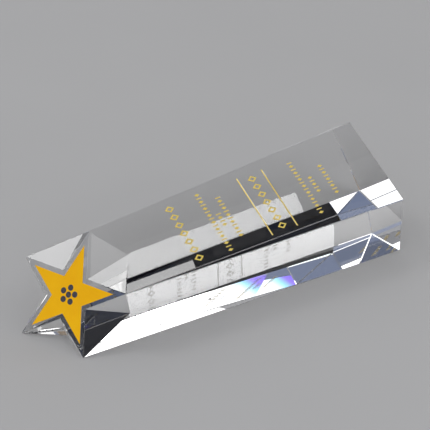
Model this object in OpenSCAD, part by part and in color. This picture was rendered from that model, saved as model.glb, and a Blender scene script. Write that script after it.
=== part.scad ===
// Star trophy: a solid crystal column, cut obliquely at its head, with a star carved into the
// cut. It lies on one of its long side faces, as it is laid in its case.
//
// The column is worked out standing on its base, front face towards -Y, +Z up, and is then laid
// down. Its faces are planes, so every cut is a half space: a very large cube on one side of a
// plane that is given by a point and a normal.

/* [Column] */
// Height from the base to the highest star tip
height = 200; // [150:1:260]
// Widest part of the base, from side corner to side corner
base_w = 80; // [76:1:90]
// Width of the front face at the base
front_w = 52; // [48:1:56]
// Width of the polished bevel along the long edges and round the star
bevel_w = 0.4; // [0.2:0.1:1]
// Width of the polished bevel round the foot of the base
base_bevel_w = 0.6; // [0.4:0.1:1.5]

/* [Star head] */
// Width of the star from tip to tip
star_w = 60; // [50:1:64]
// Slope of the star face, standing on the base
star_tilt = 43; // [35:1:50]
// How far each V groove runs down its side face below the edge of the star
groove_drop = 11.5; // [8:0.5:16]

/* [Colour filling] */
// Depth of the engraving, which the colour fills level with the face
fill_depth = 0.15; // [0.1:0.05:0.6]
// Gold star's size as a share of the carved star's
gold_share = 0.78; // [0.6:0.01:0.85]
// Distance from the middle of the emblem to the middle of each of its petals
emblem_r = 3.5; // [2.8:0.1:4]
// Radius of each emblem petal and of its middle dot
petal_r = 1.5; // [0.8:0.1:1.6]

/* [Engraved bands] */
// Height of the large lozenges
title_h = 5.3; // [4:0.1:7]
// Width of each large lozenge
title_lozenge_w = 3.8; // [2:0.1:4.5]
// Distance from one large lozenge to the next
title_pitch = 4.9; // [4.6:0.1:6]
// Width of the line that draws each large lozenge
title_line = 0.9; // [0.5:0.1:1]
// Height of the small lozenges and bars
text_h = 3; // [2:0.1:4]
// Width of each small lozenge
text_lozenge_w = 1.6; // [0.8:0.1:1.8]
// Width of each upright bar between the small lozenges
text_bar_w = 0.6; // [0.4:0.1:0.8]
// Distance from one small figure to the next
text_pitch = 2.1; // [1.8:0.1:3]
// Length of the thin rules
rule_w = 35.6; // [30:0.1:40]
// Width of the line of each thin rule
rule_line = 0.7; // [0.4:0.1:1]

/* [Hidden] */

crystal_colour = [0.82, 0.88, 0.92, 0.45];
gold_colour = [0.93, 0.68, 0.05];
emblem_colour = [0.25, 0.24, 0.24];

// Height above the base of the middle of each band, as a share of the column's height
title_at = 0.591;
citation_at = [0.506, 0.483, 0.46];
rule_upper_at = 0.385;
name_at = 0.347;
rule_lower_at = 0.31;
place_at = [0.23, 0.2015, 0.1575];
// Figures in each band
title_count = 7;
citation_counts = [17, 4, 12];
place_counts = [16, 5, 9];

up = [0, 0, 1];
// Larger than the column in every direction, for the half spaces
far = 3 * height;
// How far a cutter reaches past the face that it starts from
over = 1;

function unit(v) = v / norm(v);
function mirror_x(p) = [-p.x, p.y, p.z];
// Normal of the plane through three points, pointing away from the point inside
function normal_of(a, b, c, inside) =
    let (n = unit(cross(b - a, c - a)))
    n * (a - inside) > 0 ? n : -n;

// The star: tips at five equal angles, notches where the lines between tips cross
star_r = star_w / (2 * cos(18));
notch_r = star_r * cos(72) / cos(36);
star_normal = [0, -sin(star_tilt), cos(star_tilt)];
star_up = [0, cos(star_tilt), sin(star_tilt)];
star_centre = [0, star_r * cos(36) * cos(star_tilt), height - star_r * sin(star_tilt)];
function on_star(r, angle) = star_centre + r * sin(angle) * [1, 0, 0] + r * cos(angle) * star_up;
// Counted round the star from the top tip. Tip i and notch i are followed by tip i + 1.
tips = [for (i = [0:4]) on_star(star_r, -72 * i)];
notches = [for (i = [0:4]) on_star(notch_r, -72 * i - 36)];

// The column's side faces. Side i lies between tips i and i + 1, so side 2 is the front.
core = [0, star_centre.y, height / 3];
front_foot = [-front_w / 2, 0, 0];
left_normal = normal_of(tips[1], tips[2], front_foot, core);
side_foot_y = -left_normal.x * (front_w - base_w) / 2 / left_normal.y;
side_foot = [-base_w / 2, side_foot_y, 0];
back_normal = normal_of(tips[0], tips[1], side_foot, core);
back_foot = [0, back_normal * tips[0] / back_normal.y, 0];
side_normals = [back_normal, left_normal, [0, -1, 0], mirror_x(left_normal), mirror_x(back_normal)];
feet = [back_foot, side_foot, front_foot, mirror_x(front_foot), mirror_x(side_foot)];

// Where groove i reaches side i: below the star's edge, straight out from the notch
function groove_foot(i) =
    let (a = tips[i], b = tips[(i + 1) % 5], n = side_normals[i],
         out = unit([n.x, n.y, 0]), along = unit([b.x - a.x, b.y - a.y, 0]),
         share = (notches[i] - a) * along / norm([b.x - a.x, b.y - a.y]),
         edge = a + (b - a) * share)
    edge - groove_drop * up + out * (groove_drop * n.z / (n * out));
groove_feet = [for (i = [0:4]) groove_foot(i)];

// Laying the column down on side 0: turn that side to face down, base end towards +X
lay_turn = atan2(back_normal.y, back_normal.x);
lay_tip = 90 + asin(back_normal.z);
function turned(p) = [p.x * cos(lay_turn) + p.y * sin(lay_turn),
                      p.y * cos(lay_turn) - p.x * sin(lay_turn), p.z];
function tipped(p) = [-p.x * cos(lay_tip) - p.z * sin(lay_tip), -p.y,
                      p.z * cos(lay_tip) - p.x * sin(lay_tip)];
laid = [for (p = concat(tips, feet)) tipped(turned(p))];
laid_x = [for (p = laid) p.x];
laid_y = [for (p = laid) p.y];
laid_z = [for (p = laid) p.z];

// The row frame: origin under the middle of the lying column, on the surface that it lies on
module laid_down() {
    translate([-(min(laid_x) + max(laid_x)) / 2, -(min(laid_y) + max(laid_y)) / 2, -min(laid_z)])
        rotate([0, 0, 180])
            rotate([0, lay_tip, 0])
                rotate([0, 0, -lay_turn])
                    children();
}

// Everything past the plane through point with this normal
module beyond(point, normal) {
    translate(point)
        rotate([0, acos(normal.z), atan2(normal.y, normal.x)])
            translate([-far / 2, -far / 2, 0])
                cube(far);
}

// The sliver past a bevel of this width on the edge between two faces
module past_bevel(edge_point, normal_a, normal_b, width = bevel_w) {
    between = unit(normal_a + normal_b);
    half_angle = acos(normal_a * normal_b) / 2;
    beyond(edge_point - between * width * tan(half_angle) / 2, between);
}

// V groove i, with bevels on its edges with the star face and with the side face
module groove(i) {
    a = tips[i];
    b = tips[(i + 1) % 5];
    notch = notches[i];
    foot = groove_feet[i];
    wall_a = normal_of(a, notch, foot, star_centre);
    wall_b = normal_of(b, notch, foot, star_centre);
    intersection() {
        beyond(notch, wall_a);
        beyond(notch, wall_b);
    }
    for (face = [star_normal, side_normals[i]])
        intersection() {
            past_bevel(a, face, wall_a);
            past_bevel(b, face, wall_b);
        }
}

module blank() {
    difference() {
        translate([-base_w, 0, 0])
            cube([2 * base_w, 2 * base_w, height + over]);
        beyond(star_centre, star_normal);
        for (i = [0, 1, 3, 4])
            beyond(tips[i], side_normals[i]);
        for (i = [0:4]) {
            past_bevel(tips[i], side_normals[i], side_normals[(i + 4) % 5]);
            past_bevel(feet[i], side_normals[i], -up, base_bevel_w);
        }
    }
}

// A plane figure on the star face, sunk by fill_depth, standing proud by extra
module on_star_face(extra) {
    translate(star_centre)
        rotate([star_tilt, 0, 0])
            translate([0, 0, -fill_depth])
                linear_extrude(fill_depth + extra)
                    children();
}

// The same on the front face, at a share of the column's height
module on_front_face(at, extra) {
    translate([0, 0, at * height])
        rotate([90, 0, 0])
            translate([0, 0, -fill_depth])
                linear_extrude(fill_depth + extra)
                    children();
}

module star_outline() {
    outer = gold_share * star_r;
    inner = gold_share * notch_r;
    polygon([for (i = [0:9]) (i % 2 == 0 ? outer : inner) * [sin(36 * i), cos(36 * i)]]);
}

// A rosette of five petals round a dot
module rosette() {
    circle(petal_r, $fn = 32);
    for (i = [0:4])
        rotate(72 * i)
            translate([0, emblem_r])
                circle(petal_r, $fn = 32);
}

module lozenge(w, h) {
    polygon([[w / 2, 0], [0, h / 2], [-w / 2, 0], [0, -h / 2]]);
}

// Copies of the children in turn, in a centred row
module in_a_row(count, pitch) {
    for (i = [0:count - 1])
        translate([(i - (count - 1) / 2) * pitch, 0])
            children(i % $children);
}

module large_row() {
    in_a_row(title_count, title_pitch)
        difference() {
            lozenge(title_lozenge_w, title_h);
            lozenge(title_lozenge_w - 2 * title_line, title_h * (1 - 2 * title_line / title_lozenge_w));
        }
}

module small_row(count) {
    in_a_row(count, text_pitch) {
        lozenge(text_lozenge_w, text_h);
        square([text_bar_w, text_h], center = true);
    }
}

module rule() {
    square([rule_w, rule_line], center = true);
}

module engraving() {
    on_star_face(over)
        star_outline();
    for (at = [title_at, name_at])
        on_front_face(at, over)
            large_row();
    for (at = [rule_upper_at, rule_lower_at])
        on_front_face(at, over)
            rule();
    for (i = [0:2]) {
        on_front_face(citation_at[i], over)
            small_row(citation_counts[i]);
        on_front_face(place_at[i], over)
            small_row(place_counts[i]);
    }
}

module crystal_body() {
    color(crystal_colour)
        laid_down()
            difference() {
                blank();
                for (i = [0:4])
                    groove(i);
                engraving();
            }
}

module star_fill() {
    color(gold_colour)
        laid_down()
            on_star_face(0)
                difference() {
                    star_outline();
                    rosette();
                }
}

module star_emblem() {
    color(emblem_colour)
        laid_down()
            on_star_face(0)
                rosette();
}

module large_band(at) {
    color(gold_colour)
        laid_down()
            on_front_face(at, 0)
                large_row();
}

module small_band(at, count) {
    color(gold_colour)
        laid_down()
            on_front_face(at, 0)
                small_row(count);
}

module rule_band(at) {
    color(gold_colour)
        laid_down()
            on_front_face(at, 0)
                rule();
}

module title_band() {
    large_band(title_at);
}

module name_band() {
    large_band(name_at);
}

module rule_upper() {
    rule_band(rule_upper_at);
}

module rule_lower() {
    rule_band(rule_lower_at);
}

module citation_band_1() {
    small_band(citation_at[0], citation_counts[0]);
}

module citation_band_2() {
    small_band(citation_at[1], citation_counts[1]);
}

module citation_band_3() {
    small_band(citation_at[2], citation_counts[2]);
}

module place_band_1() {
    small_band(place_at[0], place_counts[0]);
}

module place_band_2() {
    small_band(place_at[1], place_counts[1]);
}

module place_band_3() {
    small_band(place_at[2], place_counts[2]);
}

crystal_body();
star_fill();
star_emblem();
title_band();
citation_band_1();
citation_band_2();
citation_band_3();
rule_upper();
name_band();
rule_lower();
place_band_1();
place_band_2();
place_band_3();
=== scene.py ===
"""Star trophy: a five-sided crystal column with a star-cut head, gold and dark enamel set into it.

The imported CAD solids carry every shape. This script finishes them: clear crystal, gold enamel on the
star, dark enamel in its emblem and gold leaf in the engraving, in a plain pale studio.
Lengths are in metres, angles in degrees and colours linear.
"""
import math

import bpy
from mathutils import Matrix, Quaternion, Vector

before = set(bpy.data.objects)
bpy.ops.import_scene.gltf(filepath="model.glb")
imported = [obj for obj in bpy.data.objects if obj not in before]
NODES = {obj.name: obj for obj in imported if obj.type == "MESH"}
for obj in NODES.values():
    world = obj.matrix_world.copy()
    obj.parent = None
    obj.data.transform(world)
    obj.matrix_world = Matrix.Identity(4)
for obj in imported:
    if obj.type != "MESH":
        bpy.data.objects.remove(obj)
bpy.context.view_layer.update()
MM = 0.001

# ---------------------------------------------------------------- the trophy's finishes
CRYSTAL_IOR = 1.517                 # optical crystal
CRYSTAL_HAZE = (0.0, 0.012)         # roughness left by the polishing wheel
# Each filling's colour varies between two
STAR_GOLD = ((0.93, 0.46, 0.0), (0.98, 0.53, 0.001))
EMBLEM_SLATE = ((0.045, 0.045, 0.055), (0.085, 0.08, 0.095))
GOLD_LEAF = ((0.93, 0.65, 0.09), (1.0, 0.84, 0.22))
LEAF_NODES = ("title_", "citation_", "rule_", "name_", "place_")  # the starts of their names
FILL_GAP = 0.02 * MM                # air round each filling, so that the crystal still mirrors there
WELD = 0.0005 * MM                  # joins the corners that a filling's faces share, before it shrinks

# ---------------------------------------------------------------- the studio
FLOOR_GREY = ((0.41, 0.41, 0.414), (0.43, 0.43, 0.434))
FLOOR_RADIUS = 4.0
FLOOR_DROP = 0.3 * MM               # air under the crystal, so that its lowest face clears the floor
ROOM_PALE = (0.78, 0.78, 0.79)      # the room as the camera, the floor and the enamels see it
ROOM_RIGHT = (0.004, 0.004, 0.006)  # the room as the crystal mirrors it: dark on the right,
ROOM_LEFT = (0.17, 0.205, 0.31)     # slate blue on the left
ROOM_FRONT = (0.42, 0.42, 0.43)     # and pale in front
RIGHT_TO_LEFT = (0.1, -0.5)         # where the room turns from right to left, along X
SIDE_TO_FRONT = (-0.35, -0.6)       # where it turns from either to its front, along Y

WHITE = (1, 1, 1)
COOL_WHITE = (0.85, 1, 1)
LIGHT_DISTANCE = 1.5
# The lower edge of the left softbox, from its rim inwards: share of its height, colour
FRINGE = (
    (0.0, ROOM_LEFT),
    (0.04, (0.30, 0.20, 1.1)),
    (0.09, (0.42, 0.30, 1.4)),
    (0.13, (0.5, 1.1, 1.5)),
    (0.2, (1.8, 1.8, 1.8)),
)
# The white card on the floor in front of the trophy
REFLECTOR_SIZE = (0.175, 0.066)
REFLECTOR_PLACE = (0.0275, -0.081, 0.001)
REFLECTOR_STRENGTH = 2.0

# Azimuth 0 is along +X and 90 along +Y, for the camera and the softboxes alike
CAMERA_AZIMUTH = -123.3
CAMERA_ELEVATION = 30.8
CAMERA_DISTANCE = 0.7837
CAMERA_LENS = 126.6                 # millimetres, as Blender takes a lens and a sensor
CAMERA_SENSOR = 36
LOOK_AT = Vector((0.0203, 0.0209, 0.020))

MOST_BOUNCES = 32                   # light crosses the crystal a dozen times before it gets out
GLOSSY_BOUNCES = 16

# ---------------------------------------------------------------- node helpers
NOISE_RANGE = (0.3, 0.7)            # where nearly all of a noise's values lie
NOISE_ROUGHNESS = 0.55


def new_material(name):
    """An empty node material: (material, nodes, link function, output)."""
    material = bpy.data.materials.new(name)
    material.use_nodes = True
    tree = material.node_tree
    tree.nodes.clear()
    output = tree.nodes.new("ShaderNodeOutputMaterial")
    return material, tree.nodes, tree.links.new, output


def noise(nodes, link, scale, detail=4.0, stretch=(1, 1, 1)):
    """The factor of a noise laid out in the trophy's frame; scale is in features per metre."""
    place = nodes.new("ShaderNodeTexCoord")
    mapping = nodes.new("ShaderNodeMapping")
    mapping.inputs["Scale"].default_value = stretch
    texture = nodes.new("ShaderNodeTexNoise")
    texture.inputs["Scale"].default_value = scale
    texture.inputs["Detail"].default_value = detail
    texture.inputs["Roughness"].default_value = NOISE_ROUGHNESS
    link(place.outputs["Object"], mapping.inputs["Vector"])
    link(mapping.outputs["Vector"], texture.inputs["Vector"])
    return texture.outputs["Fac"]


def ramp_between(nodes, link, value, start, end, low=0, high=1):
    """low where value is start, high where it is end, and even between them."""
    ramp = nodes.new("ShaderNodeMapRange")
    ramp.inputs["From Min"].default_value = start
    ramp.inputs["From Max"].default_value = end
    ramp.inputs["To Min"].default_value = low
    ramp.inputs["To Max"].default_value = high
    link(value, ramp.inputs["Value"])
    return ramp.outputs["Result"]


def spread(nodes, link, value, low=0, high=1):
    """A noise's value spread over low to high."""
    return ramp_between(nodes, link, value, *NOISE_RANGE, low, high)


def blend_colours(nodes, link, value, first, second):
    """A colour between first, a colour or a node's output, and second, a colour."""
    mix = nodes.new("ShaderNodeMix")
    mix.data_type = "RGBA"
    mix.inputs["B"].default_value = (*second, 1)
    if isinstance(first, tuple):
        mix.inputs["A"].default_value = (*first, 1)
    else:
        link(first, mix.inputs["A"])
    link(value, mix.inputs["Factor"])
    return mix.outputs["Result"]


def bumped(nodes, link, value, shader, depth):
    """Raises the shader's surface by value times depth."""
    bump = nodes.new("ShaderNodeBump")
    bump.inputs["Distance"].default_value = depth
    link(value, bump.inputs["Height"])
    link(bump.outputs["Normal"], shader.inputs["Normal"])


# ---------------------------------------------------------------- materials


def crystal_material():
    """Optical crystal: clear and polished, with the faintest haze."""
    material, nodes, link, output = new_material("clear_crystal")
    shader = nodes.new("ShaderNodeBsdfPrincipled")
    shader.inputs["Base Color"].default_value = (*WHITE, 1)
    shader.inputs["Transmission Weight"].default_value = 1
    shader.inputs["IOR"].default_value = CRYSTAL_IOR
    haze = noise(nodes, link, scale=140, stretch=(1, 3, 3))
    link(spread(nodes, link, haze, *CRYSTAL_HAZE), shader.inputs["Roughness"])
    link(shader.outputs["BSDF"], output.inputs["Surface"])
    return material


def star_gold_material():
    """Golden yellow enamel: a smooth poured colour, a little cloudy, with a fine grain."""
    material, nodes, link, output = new_material("star_gold_enamel")
    shader = nodes.new("ShaderNodeBsdfPrincipled")
    shader.inputs["Specular IOR Level"].default_value = 0.15
    cloud = noise(nodes, link, scale=60)
    grain = noise(nodes, link, scale=2600, detail=2)
    link(blend_colours(nodes, link, spread(nodes, link, cloud), *STAR_GOLD), shader.inputs["Base Color"])
    link(spread(nodes, link, grain, low=0.28, high=0.42), shader.inputs["Roughness"])
    bumped(nodes, link, grain, shader, depth=0.01 * MM)
    link(shader.outputs["BSDF"], output.inputs["Surface"])
    return material


def emblem_material():
    """Dark slate enamel."""
    material, nodes, link, output = new_material("emblem_dark_enamel")
    shader = nodes.new("ShaderNodeBsdfPrincipled")
    grain = noise(nodes, link, scale=2200, detail=2)
    link(blend_colours(nodes, link, spread(nodes, link, grain), *EMBLEM_SLATE), shader.inputs["Base Color"])
    link(spread(nodes, link, grain, low=0.25, high=0.4), shader.inputs["Roughness"])
    bumped(nodes, link, grain, shader, depth=0.008 * MM)
    link(shader.outputs["BSDF"], output.inputs["Surface"])
    return material


def engraving_material():
    """Gold leaf rubbed into sandblasted lines: bright, a little grainy."""
    material, nodes, link, output = new_material("engraving_gold_leaf")
    shader = nodes.new("ShaderNodeBsdfPrincipled")
    shader.inputs["Metallic"].default_value = 0.25
    grain = noise(nodes, link, scale=3800, detail=3)
    link(blend_colours(nodes, link, spread(nodes, link, grain), *GOLD_LEAF), shader.inputs["Base Color"])
    link(spread(nodes, link, grain, low=0.3, high=0.5), shader.inputs["Roughness"])
    bumped(nodes, link, grain, shader, depth=0.02 * MM)
    link(shader.outputs["BSDF"], output.inputs["Surface"])
    return material


def floor_material():
    """A plain pale floor, quite dull."""
    material, nodes, link, output = new_material("pale_floor")
    shader = nodes.new("ShaderNodeBsdfPrincipled")
    shade = spread(nodes, link, noise(nodes, link, scale=3, detail=3))
    link(blend_colours(nodes, link, shade, *FLOOR_GREY), shader.inputs["Base Color"])
    shader.inputs["Roughness"].default_value = 0.85
    shader.inputs["Specular IOR Level"].default_value = 0
    link(shader.outputs["BSDF"], output.inputs["Surface"])
    return material


def light_material(name, colour, strength):
    """The even face of a softbox or a reflector."""
    material, nodes, link, output = new_material(name)
    shader = nodes.new("ShaderNodeEmission")
    shader.inputs["Color"].default_value = (*colour, 1)
    shader.inputs["Strength"].default_value = strength
    link(shader.outputs["Emission"], output.inputs["Surface"])
    return material


def fringed_light_material():
    """A softbox whose lower edge goes from white through cyan to violet, as crystal splits its light."""
    material, nodes, link, output = new_material("fringed_light")
    place = nodes.new("ShaderNodeTexCoord")
    axes = nodes.new("ShaderNodeSeparateXYZ")
    ramp = nodes.new("ShaderNodeValToRGB")
    shader = nodes.new("ShaderNodeEmission")
    steps = ramp.color_ramp.elements
    steps.remove(steps[1])
    rim, *further_in = FRINGE
    steps[0].position = rim[0]
    steps[0].color = (*rim[1], 1)
    for position, colour in further_in:
        steps.new(position).color = (*colour, 1)
    link(place.outputs["Generated"], axes.inputs["Vector"])
    link(axes.outputs["Y"], ramp.inputs["Fac"])
    link(ramp.outputs["Color"], shader.inputs["Color"])
    link(shader.outputs["Emission"], output.inputs["Surface"])
    return material


# ---------------------------------------------------------------- stage


def direction(azimuth, elevation):
    """The unit vector to a place around the trophy: 0 is along +X and 90 along +Y."""
    around = math.radians(azimuth)
    up = math.radians(elevation)
    level = math.cos(up)
    return Vector((math.cos(around) * level, math.sin(around) * level, math.sin(up)))


def card(name, size, material):
    """A flat card at the origin, facing +Z. The camera doesn't see it."""
    bpy.ops.mesh.primitive_plane_add(size=1)
    made = bpy.context.object
    made.name = name
    made.scale = (*size, 1)
    made.data.materials.append(material)
    made.visible_camera = False
    return made


def softbox(name, azimuth, elevation, size, strength=1, colour=WHITE, roll=0,
            distance=LIGHT_DISTANCE, material=None):
    """A bright card that faces the trophy from that direction. Material overrides strength and colour."""
    made = card(name, size, material or light_material(name, colour, strength))
    towards = direction(azimuth, elevation)
    turned = Quaternion((0, 0, 1), math.radians(roll))
    made.rotation_mode = "QUATERNION"
    made.rotation_quaternion = (-towards).to_track_quat("Z", "Y") @ turned
    made.location = LOOK_AT + towards * distance


def reflector():
    """A white card on the floor before the trophy, which only the crystal mirrors."""
    made = card("reflector", REFLECTOR_SIZE, light_material("reflector_white", WHITE, REFLECTOR_STRENGTH))
    made.location = REFLECTOR_PLACE
    made.visible_diffuse = False
    made.visible_shadow = False


def build_lights():
    """The crystal mirrors each card as a bright field, and the comment above the card says which."""
    # The light strip behind the engraving and the light band on the side face
    softbox("softbox_front", azimuth=-52.5, elevation=25, size=(0.31, 0.17), strength=8, roll=13.8)
    # The end of that side band
    softbox("softbox_front_end", azimuth=-46.1, elevation=21.7, size=(0.035, 0.085),
            strength=8, roll=13.8)
    # The white lower band, at its star end
    softbox("softbox_right", azimuth=-18, elevation=28.5, size=(0.24, 0.36), strength=6)
    # The groove walls left of the star's top point and above its right arm. The card hangs before
    # the next one, which would hide part of it
    softbox("softbox_back", azimuth=131, elevation=55, size=(0.30, 0.24), strength=7, distance=1.4)
    # The white corner at the base, and the white triangle beside it
    softbox("softbox_back_left", azimuth=135.1, elevation=49, size=(0.54, 0.86), strength=1.5)
    softbox("softbox_corner", azimuth=162.8, elevation=51.6, size=(0.07, 0.07), strength=1.5)
    # The thin bright line below the side band's end
    softbox("softbox_low_back", azimuth=126, elevation=20, size=(0.13, 0.09),
            strength=1.6, colour=COOL_WHITE)
    # The lower band past its middle, with its coloured end, and a triangle ahead of that
    softbox("softbox_left", azimuth=-160.7, elevation=43.7, size=(0.64, 0.24),
            roll=53.7, material=fringed_light_material())
    softbox("softbox_low_left", azimuth=-169, elevation=33.5, size=(0.20, 0.20), strength=1.6)
    # The groove wall right of the star's top point, and thin slanting lines along the side
    softbox("softbox_left_front", azimuth=-125, elevation=42, size=(0.36, 0.36), strength=2.0)
    # The grey star end of the black strip on the front face
    softbox("softbox_top", azimuth=22.7, elevation=60.3, size=(0.05, 0.20), strength=0.45, roll=25.2)
    # A thin line and a patch that close the white lower band
    softbox("softbox_high", azimuth=8.4, elevation=63.1, size=(0.05, 0.05), strength=2)
    softbox("softbox_low_rear", azimuth=143, elevation=12.8, size=(0.09, 0.07), strength=2)
    # The lower corner of the groove wall above the star's right arm
    softbox("softbox_back_right", azimuth=24, elevation=38, size=(0.50, 0.34), strength=0.35)
    # The lower edge of the white lower band, and a little of every band on the side
    reflector()


def build_floor():
    """A wide round floor under the trophy."""
    bpy.ops.mesh.primitive_circle_add(vertices=96, radius=FLOOR_RADIUS, fill_type="NGON")
    floor = bpy.context.object
    floor.name = "floor"
    floor.location = (0, 0, -FLOOR_DROP)
    floor.data.materials.append(floor_material())


def room_in_the_crystal(nodes, link):
    """The room's colour as the crystal mirrors it: dark, but for a slate blue left and a pale front."""
    place = nodes.new("ShaderNodeTexCoord")
    axes = nodes.new("ShaderNodeSeparateXYZ")
    link(place.outputs["Generated"], axes.inputs["Vector"])
    leftness = ramp_between(nodes, link, axes.outputs["X"], *RIGHT_TO_LEFT)
    frontness = ramp_between(nodes, link, axes.outputs["Y"], *SIDE_TO_FRONT)
    sides = blend_colours(nodes, link, leftness, ROOM_RIGHT, ROOM_LEFT)
    return blend_colours(nodes, link, frontness, sides, ROOM_FRONT)


def build_world():
    """A pale room that lights the floor, and shows dark in the crystal but for the softboxes."""
    world = bpy.data.worlds.new("studio")
    bpy.context.scene.world = world
    world.use_nodes = True
    nodes, link = world.node_tree.nodes, world.node_tree.links.new
    nodes.clear()
    output = nodes.new("ShaderNodeOutputWorld")
    dark = nodes.new("ShaderNodeBackground")
    pale = nodes.new("ShaderNodeBackground")
    link(room_in_the_crystal(nodes, link), dark.inputs["Color"])
    pale.inputs["Color"].default_value = (*ROOM_PALE, 1)
    path = nodes.new("ShaderNodeLightPath")
    seen_pale = nodes.new("ShaderNodeMath")
    seen_pale.operation = "ADD"
    seen_pale.use_clamp = True
    link(path.outputs["Is Camera Ray"], seen_pale.inputs[0])
    link(path.outputs["Diffuse Depth"], seen_pale.inputs[1])
    mix = nodes.new("ShaderNodeMixShader")
    link(seen_pale.outputs["Value"], mix.inputs["Fac"])
    link(dark.outputs["Background"], mix.inputs[1])
    link(pale.outputs["Background"], mix.inputs[2])
    link(mix.outputs["Shader"], output.inputs["Surface"])


def build_camera():
    """The still camera, which looks down on the trophy from its front left."""
    camera = bpy.data.objects.new("camera", bpy.data.cameras.new("camera"))
    bpy.context.scene.collection.objects.link(camera)
    bpy.context.scene.camera = camera
    camera.data.lens = CAMERA_LENS
    camera.data.sensor_width = CAMERA_SENSOR
    camera.data.clip_start = 0.01
    camera.data.clip_end = 50
    back = direction(CAMERA_AZIMUTH, CAMERA_ELEVATION)
    camera.location = LOOK_AT + back * CAMERA_DISTANCE
    camera.rotation_mode = "QUATERNION"
    camera.rotation_quaternion = (-back).to_track_quat("-Z", "Y")


def set_light_paths():
    """Enough bounces for light to find its way out of the faceted crystal, and true whites."""
    scene = bpy.context.scene
    scene.cycles.max_bounces = MOST_BOUNCES
    scene.cycles.transmission_bounces = MOST_BOUNCES
    scene.cycles.glossy_bounces = GLOSSY_BOUNCES
    scene.view_settings.view_transform = "Standard"


# ---------------------------------------------------------------- the trophy


def dress(node_name, material):
    """Gives a CAD node its finish."""
    node = NODES[node_name]
    node.data.materials.clear()
    node.data.materials.append(material)
    return node


def set_in(node):
    """Leaves a hair of air round a filling, so that the crystal's own walls go on mirroring there."""
    weld = node.modifiers.new("weld", "WELD")
    weld.merge_threshold = WELD
    gap = node.modifiers.new("gap", "DISPLACE")
    gap.mid_level = 0
    gap.strength = -FILL_GAP


def finish_trophy():
    """Clear crystal for the block, and enamel or gold leaf for what is let into it."""
    dress("crystal_body", crystal_material())
    set_in(dress("star_fill", star_gold_material()))
    set_in(dress("star_emblem", emblem_material()))
    leaf = engraving_material()
    for name in NODES:
        if name.startswith(LEAF_NODES):
            set_in(dress(name, leaf))


finish_trophy()
build_floor()
build_world()
build_lights()
build_camera()
set_light_paths()
